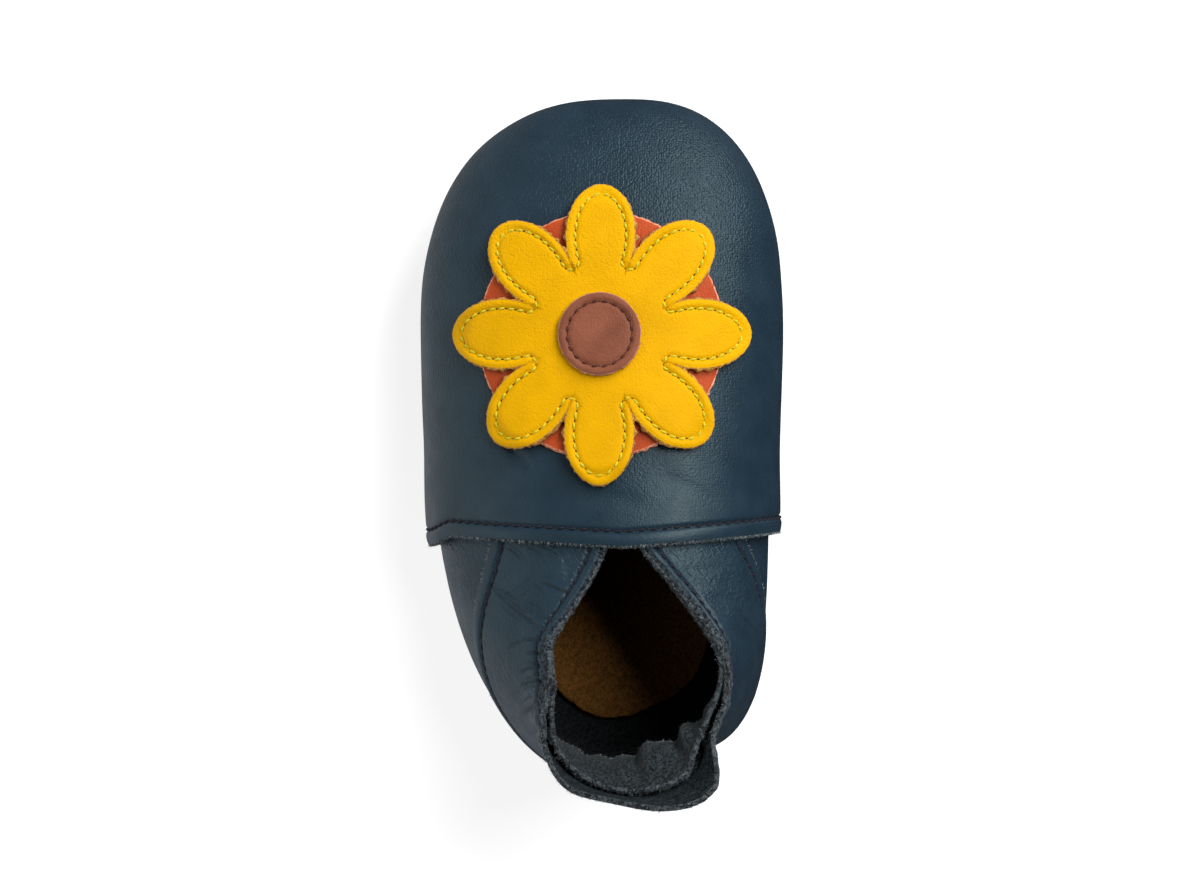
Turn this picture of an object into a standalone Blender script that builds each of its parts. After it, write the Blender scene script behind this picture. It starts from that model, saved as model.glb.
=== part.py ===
"""Soft-soled baby shoe for the left foot: leather upper with elastic collar, insole, suede sole and flower.

Metres, +Z up, toe at +Y, the foot's outer side at -X. The origin is on the floor under the shoe's middle.
"""
import math

import bmesh
import bpy
from mathutils import Vector

MM = 0.001
NAME = "soft_baby_shoe"
WELD = 0.02 * MM

# Plan of the last at its widest height: a rounded toe cap and a rounded heel cap with straight sides between.
TOE_X = 3.6 * MM
TOE_CAP_Y = 22.0 * MM
TOE_LENGTH = 47.5 * MM
BALL_OUTER = 39.9 * MM
BALL_INNER = 33.0 * MM
TOE_ROUND_OUTER = 2.40
TOE_ROUND_INNER = 2.58
HEEL_X = 7.5 * MM
HEEL_CAP_Y = -3.0 * MM
HEEL_LENGTH_OUTER = 67.6 * MM
HEEL_LENGTH_INNER = 60.5 * MM
HEEL_TURN = (256.0, 286.0)
WAIST_OUTER = 43.1 * MM
WAIST_INNER = 28.5 * MM
HEEL_ROUND_OUTER = 2.16
HEEL_ROUND_INNER = 4.0

# Floor seam, widest line, and the crest of the instep from the vamp's rear edge to the toe.
# That edge runs forwards from the crest to both sides, and on the outer side its corner dips back.
FEATHER_Z = 4.3 * MM
WIDEST_Z = 15.0 * MM
HEM_Y = -19.5 * MM
HEM_OUTER_Y = -17.4 * MM
HEM_INNER_Y = -17.2 * MM
HEM_DIP = 2.5 * MM
HEM_DIP_FROM = 0.84
HEM_CREST_Z = 45.0 * MM
CREST_FALL = 0.15
CREST_ROUND = 2.3
SECTION_ROUND = 2.2
CREST_X_REAR = 8.2 * MM
CREST_X_REAR_Y = -38.0 * MM

# Leather and the steps between its layers, all measured inwards from the vamp's outer face.
LEATHER = 1.1 * MM
GAP = 0.3 * MM
QUARTER_INSET = 2.4 * MM
BAND_STEP = 0.7 * MM
BAND_LAP = 0.13
TUCK = 4.0 * MM
QUARTER_TUCK = 4.5 * MM
TUCK_ANGLE = math.radians(70.0)

# Quarter wall, a row for each place around the heel from the outer wing to the inner wing.
# Radius and height are those of the collar edge, waist is how far the elastic draws the wall in,
# seam is the ankle band's lower edge as a share of the wall between widest line and collar,
# and lean is how far the tab's top stands out past the collar.
FAN_Y = -36.0 * MM
FAN_BLEND = 6.0 * MM
LEAST_ARC = math.radians(40.0)
WAIST_SKEW = 2.0
WALL_COLUMNS = ("angle", "radius", "height", "waist", "seam", "lean")
WALL_ROWS = (
    (180, 2.2, 40.2, 0.0, 0.55, 0.0),
    (201, 2.6, 42.5, 0.0, 0.57, 0.0),
    (226, 16.0, 46.0, 0.0, 0.42, 0.0),
    (240, 19.5, 47.5, 0.4, 0.26, 0.0),
    (253, 29.5, 49.0, 2.6, 0.12, 1.6),
    (268, 32.4, 50.0, 4.4, 0.08, 0.2),
    (280, 31.0, 49.5, 3.6, 0.08, 3.6),
    (287, 25.5, 48.5, 1.8, 0.08, 5.5),
    (300, 19.3, 47.5, 0.6, 0.10, 0.0),
    (316, 8.7, 44.6, 0.1, 0.27, 0.0),
    (330, 2.2, 42.5, 0.0, 0.42, 0.0),
    (360, 2.2, 40.2, 0.0, 0.46, 0.0),
)

# Heel tab: the band rises over the back, where the flanks and the flat top have these angles.
TAB_FOOT = (250.0, 288.0)
TAB_TOP = (261.0, 283.5)
TAB_HEIGHT = 10.0 * MM

# Share of the vamp's rows that lie below its widest line, and share of its edge on each straight side.
VAMP_TUCK = 4.0 / 14.0
VAMP_SIDE = 0.2

# Elastic casing inside the collar.
CASING = 1.0 * MM
CASING_GAP = 0.5 * MM
CASING_SPAN = (0.74, 0.985)

# Steps around and up the wall over which its slope is measured, in degrees and levels.
TURN_STEP = 0.5
LEVEL_STEP = 0.01

# Sole and insole.
SOLE = 1.8 * MM
SOLE_RIM_Z = FEATHER_Z - GAP
SOLE_ROLL = 5.5 * MM
SOLE_FLAT = 0.2
RING_SIDE = 0.1
INSOLE = 1.5 * MM
INSOLE_INSET = 10.2 * MM
INSOLE_HEEL_INSET = 13.5 * MM
INSOLE_WAIST_Y = (-15.0 * MM, -50.0 * MM)

# Flower sewn on the vamp: a disc, petals and a round centre, in layers.
FLOWER_X = 0.8 * MM
FLOWER_Y = 22.0 * MM
DISC_RADIUS = 24.0 * MM
DISC_TOP = 1.4 * MM
PETALS = 8
PETAL_TIP = 29.5 * MM
PETAL_NOTCH = 15.5 * MM
PETAL_ROUND = 0.7
PETAL_TOP = 3.1 * MM
PETAL_DROP = 1.2 * MM
DROP_FROM = 25.3 * MM
DROP_TO = 29.5 * MM
CENTRE_RADIUS = 8.0 * MM
CENTRE_TOP = 4.4 * MM
APPLIQUE = 1.0 * MM

# Columns and rows of each sheet's grid.
GRIDS = {
    "upper": (40, 14),
    "quarter_leather": (48, 6),
    "band_leather": (48, 9),
    "collar_casing": (48, 4),
    "outsole": (60, 5),
    "insole": (48, 1),
    "applique_disc": (40, 4),
    "applique_petals": (80, 6),
    "applique_centre": (28, 2),
}

COLOURS = {
    "navy leather": ((0.022, 0.040, 0.060), 0.45),
    "blue suede": ((0.034, 0.042, 0.048), 0.90),
    "tan leather": ((0.22, 0.10, 0.035), 0.65),
    "taupe suede": ((0.16, 0.115, 0.080), 0.92),
    "orange leather": ((0.54, 0.088, 0.022), 0.55),
    "yellow leather": ((0.85, 0.44, 0.006), 0.50),
    "brown leather": ((0.30, 0.095, 0.045), 0.55),
}


def mix(a, b, share):
    return a + (b - a) * share


def ease(value, start, end):
    """Smooth step from 0 at start to 1 at end."""
    share = min(max((value - start) / (end - start), 0.0), 1.0)
    return share * share * (3.0 - 2.0 * share)


def cap(share, power):
    """Height of a unit superellipse at this share of its length."""
    return max(0.0, 1.0 - min(max(share, 0.0), 1.0) ** power) ** (1.0 / power)


def cap_radius(angle, half_x, half_y, power):
    """Polar radius of a superellipse."""
    across = (abs(math.cos(angle)) / half_x) ** power
    along = (abs(math.sin(angle)) / half_y) ** power
    return (across + along) ** (-1.0 / power)


def toe_sizes(inner, out):
    """Half width, length and roundness of the toe cap on one side, grown by out."""
    half = BALL_INNER if inner else BALL_OUTER
    power = TOE_ROUND_INNER if inner else TOE_ROUND_OUTER
    return half + out, TOE_LENGTH + out, power


def heel_sizes(inner, out):
    half = WAIST_INNER if inner else WAIST_OUTER
    length = HEEL_LENGTH_INNER if inner else HEEL_LENGTH_OUTER
    power = HEEL_ROUND_INNER if inner else HEEL_ROUND_OUTER
    return half + out, length + out, power


def cap_point(angle, centre, half, length, power):
    radius = cap_radius(angle, half, length, power)
    return Vector(centre) + radius * Vector((math.cos(angle), math.sin(angle)))


def toe_outline(degrees, out=0.0):
    """Plan point on the toe cap's widest line, from the inner side at 0 to the outer side at 180."""
    angle = math.radians(degrees)
    return cap_point(angle, (TOE_X, TOE_CAP_Y), *toe_sizes(math.cos(angle) > 0.0, out))


def heel_outline(degrees, out=0.0):
    """Plan point on the heel cap's widest line, from the outer side at 180 to the inner side at 360."""
    angle = math.radians(degrees)
    half, _, power = heel_sizes(math.cos(angle) > 0.0, out)
    length = mix(HEEL_LENGTH_OUTER, HEEL_LENGTH_INNER, ease(degrees, *HEEL_TURN)) + out
    return cap_point(angle, (HEEL_X, HEEL_CAP_Y), half, length, power)


def edge_x(y, inner, out=0.0):
    """Where the plan's inner or outer edge is at this place along the foot."""
    sign = 1.0 if inner else -1.0
    toe_half, toe_length, toe_power = toe_sizes(inner, out)
    heel_half, heel_length, heel_power = heel_sizes(inner, out)
    if y >= TOE_CAP_Y:
        return TOE_X + sign * toe_half * cap((y - TOE_CAP_Y) / toe_length, toe_power)
    if y <= HEEL_CAP_Y:
        return HEEL_X + sign * heel_half * cap((HEEL_CAP_Y - y) / heel_length, heel_power)
    ball = TOE_X + sign * toe_half
    waist = HEEL_X + sign * heel_half
    return mix(ball, waist, ease(y, TOE_CAP_Y, HEEL_CAP_Y))


def crest_x(y):
    return mix(TOE_X, CREST_X_REAR, ease(y, HEEL_CAP_Y, CREST_X_REAR_Y))


def crest_z(y, out=0.0):
    """Top of the instep seen from the side."""
    ramp = HEM_CREST_Z + out - CREST_FALL * (y - HEM_Y)
    if y <= TOE_CAP_Y:
        return ramp
    return mix(WIDEST_Z, ramp, cap((y - TOE_CAP_Y) / (TOE_LENGTH + out), CREST_ROUND))


def top_z(x, y, out=0.0):
    """Height of the vamp's form over a plan point, grown by out."""
    middle = crest_x(y)
    half = abs(edge_x(y, x > middle, out) - middle)
    if half < WELD:
        return WIDEST_Z
    return mix(WIDEST_Z, crest_z(y, out), cap(abs(x - middle) / half, SECTION_ROUND))


def tuck(share, depth):
    """Inward step and height of the wall below its widest line, where share 1 is the floor seam."""
    angle = share * TUCK_ANGLE
    inward = depth * (1.0 - math.cos(angle)) / (1.0 - math.cos(TUCK_ANGLE))
    height = mix(WIDEST_Z, FEATHER_Z, math.sin(angle) / math.sin(TUCK_ANGLE))
    return inward, height


def along(table, columns, column, place):
    """Smooth value of one column of a table at a place in its first column."""
    index = columns.index(column)
    xs = [row[0] for row in table]
    ys = [row[index] for row in table]
    last = len(xs) - 1
    i = max(k for k in range(last) if xs[k] <= place or k == 0)
    slopes = []
    for k in (i, i + 1):
        low, high = max(k - 1, 0), min(k + 1, last)
        slopes.append((ys[high] - ys[low]) / (xs[high] - xs[low]))
    span = xs[i + 1] - xs[i]
    t = (place - xs[i]) / span
    start = ys[i] * (1 + 2 * t) * (1 - t) ** 2 + slopes[0] * span * t * (1 - t) ** 2
    end = ys[i + 1] * t * t * (3 - 2 * t) + slopes[1] * span * t * t * (t - 1)
    return start + end


def wall_value(column, degrees):
    return along(WALL_ROWS, WALL_COLUMNS, column, degrees)


def tab_share(degrees):
    rise = ease(degrees, TAB_FOOT[0], TAB_TOP[0])
    return rise * (1.0 - ease(degrees, TAB_TOP[1], TAB_FOOT[1]))


def wall(degrees, level, out=0.0):
    """Point on the quarter's wall.

    Level -1 is the floor seam, 0 the widest line, 1 the collar and 2 the tab's top.
    """
    if level <= 0.0:
        inward, z = tuck(-level, QUARTER_TUCK - QUARTER_INSET)
        base = heel_outline(degrees, out - QUARTER_INSET - inward)
        return Vector((base.x, base.y, z))
    base = heel_outline(degrees, out - QUARTER_INSET)
    drop = base.y - FAN_Y
    target_y = FAN_Y + (drop + math.hypot(drop, FAN_BLEND)) / 2.0
    target = Vector((crest_x(target_y), target_y))
    reach = (base - target).length
    edge = wall_value("radius", degrees) * MM + out
    edge_z = wall_value("height", degrees) * MM + out
    power = 2.0 / SECTION_ROUND
    arc = max(math.acos(min(edge / reach, 1.0) ** (1.0 / power)), LEAST_ARC)
    angle = min(level, 1.0) * arc
    inwards = (1.0 - math.cos(angle) ** power) / (1.0 - math.cos(arc) ** power)
    upwards = (math.sin(angle) / math.sin(arc)) ** power
    radius = mix(reach, edge, inwards)
    radius -= wall_value("waist", degrees) * MM * math.sin(math.pi * upwards ** WAIST_SKEW)
    z = mix(WIDEST_Z, edge_z, upwards)
    if level > 1.0:
        radius += wall_value("lean", degrees) * MM * (level - 1.0)
        z += TAB_HEIGHT * (level - 1.0)
    point = target + (base - target).normalized() * radius
    return Vector((point.x, point.y, z))


def under_wall(degrees, level, depth):
    """Point this deep below the ankle band's outer face, square to it."""
    across = wall(degrees + TURN_STEP, level, BAND_STEP) - wall(degrees - TURN_STEP, level, BAND_STEP)
    upwards = wall(degrees, level + LEVEL_STEP, BAND_STEP) - wall(degrees, level - LEVEL_STEP, BAND_STEP)
    return wall(degrees, level, BAND_STEP) - across.cross(upwards).normalized() * depth


def hem_y(inner, across):
    """Where the vamp's rear edge is along the foot, from the crest at 0 to the widest line at 1."""
    if inner:
        return mix(HEM_Y, HEM_INNER_Y, across)
    return mix(HEM_Y, HEM_OUTER_Y, across) - HEM_DIP * ease(across, HEM_DIP_FROM, 1.0)


def vamp_plan(around, across, out):
    """Plan point on the vamp, across from the crest at 0 to its edge at 1."""
    if VAMP_SIDE <= around <= 1.0 - VAMP_SIDE:
        degrees = 180.0 * (around - VAMP_SIDE) / (1.0 - 2.0 * VAMP_SIDE)
        middle = Vector((TOE_X, TOE_CAP_Y))
        return mix(middle, toe_outline(degrees, out), across)
    inner = around < VAMP_SIDE
    share = (around if inner else 1.0 - around) / VAMP_SIDE
    y = mix(hem_y(inner, across), TOE_CAP_Y, share)
    return Vector((mix(crest_x(y), edge_x(y, inner, out), across), y))


def vamp_point(around, level, out=0.0):
    """Point on the vamp. Level -1 is the floor seam, 0 the widest line and 1 the crest."""
    if level <= 0.0:
        inward, z = tuck(-level, TUCK)
        base = vamp_plan(around, 1.0, out - inward)
        return Vector((base.x, base.y, z))
    plan = vamp_plan(around, math.cos(level * math.pi / 2.0), out)
    return Vector((plan.x, plan.y, top_z(plan.x, plan.y, out)))


def new_material(name):
    colour, roughness = COLOURS[name]
    material = bpy.data.materials.new(name)
    material.use_nodes = True
    shader = material.node_tree.nodes["Principled BSDF"]
    shader.inputs["Base Color"].default_value = (*colour, 1.0)
    shader.inputs["Roughness"].default_value = roughness
    shader.inputs["Metallic"].default_value = 0.0
    material.diffuse_color = (*colour, 1.0)
    return material


def new_sheet(name, place, thickness, material, collection):
    """Sheet of leather: a grid laid out by place(u, v), thickened inwards from its outer face."""
    columns, rows = GRIDS[name]
    bm = bmesh.new()
    bmesh.ops.create_grid(bm, x_segments=columns, y_segments=rows, size=0.5)
    for vertex in bm.verts:
        vertex.co = place(vertex.co.x + 0.5, vertex.co.y + 0.5)
    bmesh.ops.remove_doubles(bm, verts=bm.verts, dist=WELD)
    mesh = bpy.data.meshes.new(name)
    bm.to_mesh(mesh)
    bm.free()
    mesh.shade_smooth()
    mesh.materials.append(material)
    sheet = bpy.data.objects.new(name, mesh)
    collection.objects.link(sheet)
    solid = sheet.modifiers.new("leather", "SOLIDIFY")
    solid.thickness = thickness
    solid.offset = -1.0
    solid.use_even_offset = True
    return sheet


def join(sheet, other):
    """Sew another sheet on, as one solid."""
    other.hide_render = True
    other.display_type = "WIRE"
    union = sheet.modifiers.new(other.name, "BOOLEAN")
    union.operation = "UNION"
    union.solver = "EXACT"
    union.object = other


def build_upper(parts, sewn):
    """Vamp, quarter and ankle band, joined where they are sewn into one hollow upper."""
    navy = new_material("navy leather")

    def vamp_place(u, v):
        level = v / VAMP_TUCK - 1.0 if v < VAMP_TUCK else (v - VAMP_TUCK) / (1.0 - VAMP_TUCK)
        return vamp_point(u, level)

    def quarter_place(u, v):
        degrees = mix(180.0, 360.0, u)
        return wall(degrees, mix(-1.0, wall_value("seam", degrees) + BAND_LAP, v))

    def band_place(u, v):
        degrees = mix(180.0, 360.0, u)
        top = 1.0 + tab_share(degrees)
        return wall(degrees, mix(wall_value("seam", degrees), top, v), BAND_STEP)

    upper = new_sheet("upper", vamp_place, LEATHER, navy, parts)
    quarter = new_sheet("quarter_leather", quarter_place, LEATHER, navy, sewn)
    band = new_sheet("band_leather", band_place, LEATHER, navy, sewn)
    join(upper, quarter)
    join(upper, band)
    return upper


def build_casing(parts):
    """Strip that holds the elastic, inside the collar."""
    def place(u, v):
        degrees = mix(180.0, 360.0, u)
        return under_wall(degrees, mix(*CASING_SPAN, v), LEATHER + CASING_GAP)

    return new_sheet("collar_casing", place, CASING, new_material("blue suede"), parts)


def ring(u, out):
    """Plan point round the whole shoe: toe cap, outer side, heel cap, inner side."""
    cap_share = 0.5 - RING_SIDE
    turn, along_side = divmod(u % 1.0, 0.5)
    if along_side <= cap_share:
        degrees = 180.0 * (turn + along_side / cap_share)
        return heel_outline(degrees, out) if turn else toe_outline(degrees, out)
    share = (along_side - cap_share) / RING_SIDE
    y = mix(HEEL_CAP_Y, TOE_CAP_Y, share if turn else 1.0 - share)
    return Vector((edge_x(y, bool(turn), out), y))


def build_outsole(parts):
    """Flat sole with its rim rolled up to the upper."""
    def place(u, v):
        rim = max(0.0, (v - SOLE_FLAT) / (1.0 - SOLE_FLAT))
        roll = (1.0 - (1.0 - rim) ** 2) * math.pi / 2.0
        out = -TUCK - SOLE_ROLL * (1.0 - math.sin(roll))
        plan = ring(u, out) * min(v / SOLE_FLAT, 1.0)
        return Vector((plan.x, plan.y, SOLE_RIM_Z * (1.0 - math.cos(roll))))

    return new_sheet("outsole", place, SOLE, new_material("taupe suede"), parts)


def build_insole(parts):
    def place(u, v):
        towards_heel = ease(ring(u, -INSOLE_INSET).y, *INSOLE_WAIST_Y)
        plan = ring(u, -mix(INSOLE_INSET, INSOLE_HEEL_INSET, towards_heel)) * v
        return Vector((plan.x, plan.y, SOLE + GAP + INSOLE))

    insole = new_sheet("insole", place, INSOLE, new_material("tan leather"), parts)
    insole.data.flip_normals()
    return insole


def petal_radius(degrees):
    wave = abs(math.cos(math.radians(degrees * PETALS / 2.0)))
    return mix(PETAL_NOTCH, PETAL_TIP, wave ** PETAL_ROUND)


def build_layer(name, radius, top, material, parts):
    """One layer of the flower, laid on the vamp's own form at the height top(radius)."""
    def place(u, v):
        angle = 2.0 * math.pi * u
        reach = radius(360.0 * u) * v
        x = FLOWER_X + reach * math.cos(angle)
        y = FLOWER_Y + reach * math.sin(angle)
        return Vector((x, y, top_z(x, y, top(reach))))

    layer = new_sheet(name, place, APPLIQUE, material, parts)
    layer.data.flip_normals()
    return layer


def build_flower(parts):
    def petal_top(reach):
        return PETAL_TOP - PETAL_DROP * ease(reach, DROP_FROM, DROP_TO)

    orange = new_material("orange leather")
    build_layer("applique_disc", lambda degrees: DISC_RADIUS, lambda reach: DISC_TOP, orange, parts)
    yellow = new_material("yellow leather")
    build_layer("applique_petals", petal_radius, petal_top, yellow, parts)
    brown = new_material("brown leather")
    build_layer("applique_centre", lambda degrees: CENTRE_RADIUS, lambda reach: CENTRE_TOP, brown, parts)


def main():
    for item in list(bpy.data.objects):
        bpy.data.objects.remove(item, do_unlink=True)
    parts = bpy.data.collections.new(NAME)
    sewn = bpy.data.collections.new("sewn_sheets")
    bpy.context.scene.collection.children.link(parts)
    bpy.context.scene.collection.children.link(sewn)
    build_outsole(parts)
    build_insole(parts)
    build_upper(parts, sewn)
    build_casing(parts)
    build_flower(parts)


main()
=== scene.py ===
"""Looks of the soft-soled baby shoe: leather and suede sheets, seams, raw edges, flower, light and camera.

Metres, +Z up, toe at +Y, the foot's outer side at -X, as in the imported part.
"""
import bisect
import functools
import random
from math import acos, copysign, cos, exp, hypot, pi, radians, sin, tau

import bmesh
import bpy
from mathutils import Matrix, Vector, noise


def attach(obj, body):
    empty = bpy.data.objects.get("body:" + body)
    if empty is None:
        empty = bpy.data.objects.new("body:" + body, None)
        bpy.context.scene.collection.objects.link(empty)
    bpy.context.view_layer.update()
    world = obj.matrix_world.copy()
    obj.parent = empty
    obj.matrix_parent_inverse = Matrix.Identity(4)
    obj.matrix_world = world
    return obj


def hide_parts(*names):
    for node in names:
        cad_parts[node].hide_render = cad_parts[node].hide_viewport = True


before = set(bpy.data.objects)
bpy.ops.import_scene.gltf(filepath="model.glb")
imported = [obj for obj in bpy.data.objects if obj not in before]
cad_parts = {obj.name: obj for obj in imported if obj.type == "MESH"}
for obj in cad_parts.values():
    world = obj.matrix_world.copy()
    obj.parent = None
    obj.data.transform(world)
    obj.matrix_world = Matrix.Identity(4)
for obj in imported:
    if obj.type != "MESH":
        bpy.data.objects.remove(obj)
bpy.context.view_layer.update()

MM = 0.001
WELD = 0.02 * MM

# Plan of the last at its widest height: a rounded toe cap and a rounded heel cap with straight sides between.
# Pairs give the outer and the inner side.
TOE_X = 3.6 * MM
TOE_CAP_Y = 22.0 * MM
TOE_LENGTH = 47.5 * MM
BALL = (39.9 * MM, 33.0 * MM)
TOE_ROUND = (2.40, 2.58)
HEEL_X = 7.5 * MM
HEEL_CAP_Y = -3.0 * MM
HEEL_LENGTH = (67.6 * MM, 60.5 * MM)
HEEL_TURN = (256.0, 286.0)
WAIST = (43.1 * MM, 28.5 * MM)
HEEL_ROUND = (2.16, 4.0)

# Floor seam, widest line, and the crest of the instep from the vamp's rear edge to the toe.
# That edge runs forwards from the crest to both sides, and on the outer side its corner dips back.
FEATHER_Z = 4.3 * MM
WIDEST_Z = 15.0 * MM
HEM_Y = -19.5 * MM
HEM_OUTER_Y = -17.4 * MM
HEM_INNER_Y = -17.2 * MM
HEM_DIP = 2.5 * MM
HEM_DIP_FROM = 0.84
HEM_CREST_Z = 45.0 * MM
CREST_FALL = 0.15
CREST_ROUND = 2.3
SECTION_ROUND = 2.2
CREST_X_REAR = 8.2 * MM
CREST_X_REAR_Y = -38.0 * MM

# Leather and the steps between its layers, all measured inwards from the vamp's outer face.
LEATHER = 1.1 * MM
GAP = 0.3 * MM
QUARTER_INSET = 2.4 * MM
BAND_STEP = 0.7 * MM
BAND_LAP = 0.13
TUCK = 4.0 * MM
QUARTER_TUCK = 4.5 * MM
TUCK_ANGLE = radians(70.0)

# Quarter wall, a row for each place around the heel from the outer wing to the inner wing.
FAN_Y = -36.0 * MM
FAN_BLEND = 6.0 * MM
LEAST_ARC = radians(40.0)
WAIST_SKEW = 2.0
WALL_COLUMNS = ("angle", "radius", "height", "waist", "seam", "lean")
WALL_ROWS = (
    (180, 2.2, 40.2, 0.0, 0.55, 0.0),
    (201, 2.6, 42.5, 0.0, 0.57, 0.0),
    (226, 16.0, 46.0, 0.0, 0.42, 0.0),
    (240, 19.5, 47.5, 0.4, 0.26, 0.0),
    (253, 29.5, 49.0, 2.6, 0.12, 1.6),
    (268, 32.4, 50.0, 4.4, 0.08, 0.2),
    (280, 31.0, 49.5, 3.6, 0.08, 3.6),
    (287, 25.5, 48.5, 1.8, 0.08, 5.5),
    (300, 19.3, 47.5, 0.6, 0.10, 0.0),
    (316, 8.7, 44.6, 0.1, 0.27, 0.0),
    (330, 2.2, 42.5, 0.0, 0.42, 0.0),
    (360, 2.2, 40.2, 0.0, 0.46, 0.0),
)
TAB_RISE = (250.0, 261.0)
TAB_FALL = (283.5, 288.0)
TAB_HEIGHT = 10.0 * MM
VAMP_TUCK = 4.0 / 14.0
VAMP_SIDE = 0.2
CASING = 1.0 * MM
CASING_GAP = 0.5 * MM
CASING_SPAN = (0.74, 0.985)

# Steps over which directions are measured, in degrees, levels and shares, and a step along a wall.
TURN_STEP = 0.5
LEVEL_STEP = 0.01
SHARE_STEP = 0.002
WALK_STEP = 0.004

# Sole and insole.
SOLE = 1.8 * MM
SOLE_RIM_Z = FEATHER_Z - GAP
SOLE_ROLL = 5.5 * MM
SOLE_FLAT = 0.2
RING_SIDE = 0.1
INSOLE = 1.5 * MM
INSOLE_INSET = 10.2 * MM
INSOLE_HEEL_INSET = 13.5 * MM
INSOLE_WAIST_Y = (-15.0 * MM, -50.0 * MM)

# Flower sewn on the vamp.
FLOWER_X = 0.8 * MM
FLOWER_Y = 22.0 * MM
DISC_RADIUS = 24.0 * MM
DISC_TOP = 1.4 * MM
PETALS = 8
PETAL_TIP = 29.5 * MM
PETAL_NOTCH = 15.5 * MM
PETAL_ROUND = 0.7
PETAL_TOP = 3.1 * MM
PETAL_DROP = 1.2 * MM
DROP_FROM = 25.3 * MM
DROP_TO = 29.5 * MM
CENTRE_RADIUS = 8.0 * MM
CENTRE_TOP = 4.4 * MM
APPLIQUE = 1.0 * MM
APPLIQUE_EDGE = 0.2 * MM

# Seams: how far a stitch row is from its cut edge, its pitch and its thread.
HEM_INSET = 2.9 * MM
BAND_INSET = 2.6 * MM
COLLAR_INSET = 2.6 * MM
PETAL_INSET = 1.7 * MM
CENTRE_INSET = 1.6 * MM
SEAM_PITCH = 2.3 * MM
FLOWER_PITCH = 2.0 * MM
NAVY_THREAD = 0.60 * MM
FLOWER_THREAD = 0.54 * MM
GROOVE_DEPTH = 0.36 * MM
GROOVE_WIDTH = 0.50 * MM
PUFF = 0.22 * MM

# Points along the stitch rows, with the collar's ends in degrees.
HEM_STEPS = 120
HEM_FIRST = 6
COLLAR_SEAM = (181.0, 359.0)
COLLAR_STEPS = 356
PETAL_STEPS = 90 * PETALS
PETAL_SEAM_FROM = 0.4
CENTRE_STEPS = 120

# One stitch, with its rise and sink in thread sizes, and its needle hole, a near-black lens of painted shade.
STITCH_RINGS = 7
STITCH_SIDES = 6
STITCH_GAP = 0.15
STITCH_SLANT = 0.5
STITCH_ARCH = (0.08, 0.92)
STITCH_RISE = 0.75
STITCH_SINK = 0.42
STITCH_BLUNT = 0.35
HOLE_SHARE = 0.75
HOLE_CROWN = 0.25

# Loose fibres, with their roots and lean along and through the cut edge.
FIBRE = 0.08 * MM
ROOT_ALONG = (-0.4 * MM, 0.4 * MM)
ROOT_THROUGH = (-0.45 * MM, 0.5 * MM)
LEAN_THROUGH = (-0.7, 0.9)
LEAN_ALONG = (-0.8, 0.8)
SHORTEST = 0.25
SPIKE_FACES = ((0, 1, 2), (0, 3, 1), (1, 3, 2), (2, 3, 0))

# Cut edges.
EDGE_STEPS = 4
EDGE_SQUARE = 0.55
RAG_SIZE = 0.6 * MM
RAGGED = 0.9

# Grain: pebbles, lines as direction in degrees, width, length, detail and waviness, and strength along Y.
PEBBLE = 0.48 * MM
GRAIN_LINES = (-45.0, 0.45 * MM, 2.2 * MM, 1.0, 0.4)
GRAIN_LINE_SHARE = 0.35
GRAIN_RAMP = (-15.0 * MM, 50.0 * MM, 0.42, 1.4)

# Fine wrinkles of soft leather, as the grain's lines.
WRINKLE_SETS = ((38.0, 0.55 * MM, 3.5 * MM, 1.5, 0.6), (-62.0, 0.55 * MM, 3.0 * MM, 1.5, 0.6))
WRINKLE_DEPTH = 0.35 * MM

# Tints of gloss, and how much of the nap shows as tips on navy suede.
GLOSS_TINT = (0.80, 1.0, 0.97)
PLAIN = (1.0, 1.0, 1.0)
BLACK = (0.0, 0.0, 0.0)
NAVY_TIPS = (0.40, 0.78)

# Painted shade darkens the bottoms of fine creases and stitch grooves; the widest crease that gets it and a
# full depth in mm.
FINE_CREASE = 0.5
DARK_DEPTH = 0.85
SEAM_SHADE = 0.28
SEAM_SHADE_WIDTH = 0.32 * MM
PAINTED_SHADE_STRENGTH = 0.85
SHADE_ROUGH = 0.25

# Unevenness of leather and foot bed, and puckers along the floor seam.
SLACK = 0.18 * MM
SLACK_SIZE = 13.0 * MM
BED_WAVE = 0.25 * MM
BED_WAVE_SIZE = 18.0 * MM
PUCKER = 0.5 * MM
PUCKERS = 34
PUCKER_CHANGE = 40.0
QUARTER_PUCKER_TOP = 0.5
QUARTER_ROW = 7.0

# Gathers of the elastic around the heel, wide folds and short ticks, as depth, pitch in degrees and reach.
GATHERS = ((0.8 * MM, 5.2, 6.5 * MM), (0.35 * MM, 1.9, 2.6 * MM))
GATHER_RISE = (230.0, 244.0)
GATHER_FALL = (284.0, 300.0)
GATHER_SHIFT = 0.7
GATHER_CHANGE = 10.0
GATHER_ROUND = 0.7
GATHER_MEAN = 0.6

# Casing: gathers, the stretch that hangs inwards, lip, sewn edge, and pleats as place, width and depth in mm.
CASING_GATHER = 0.7 * MM
CASING_PITCH = 7.0
CASING_SHIFT = 2.0
CASING_CHANGE = 12.0
CASING_ROW = 3.0
CASING_HANG = 1.6 * MM
HANG_RISE = (270.5, 273.0)
HANG_FALL = (292.0, 304.0)
CASING_LIP = (0.5 * MM, -0.3 * MM)
CASING_LIP_FROM = 0.6
CASING_OPEN = (236.0, 252.0)
CASING_SHUT = (290.0, 304.0)
CASING_SEWN = 0.2
CASING_SEWN_FROM = 0.1
CASING_PLEATS = ((273.6, 1.3, 0.9), (279.0, 1.6, -0.8), (283.5, 1.5, 0.8), (288.5, 1.8, -0.6))

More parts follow.
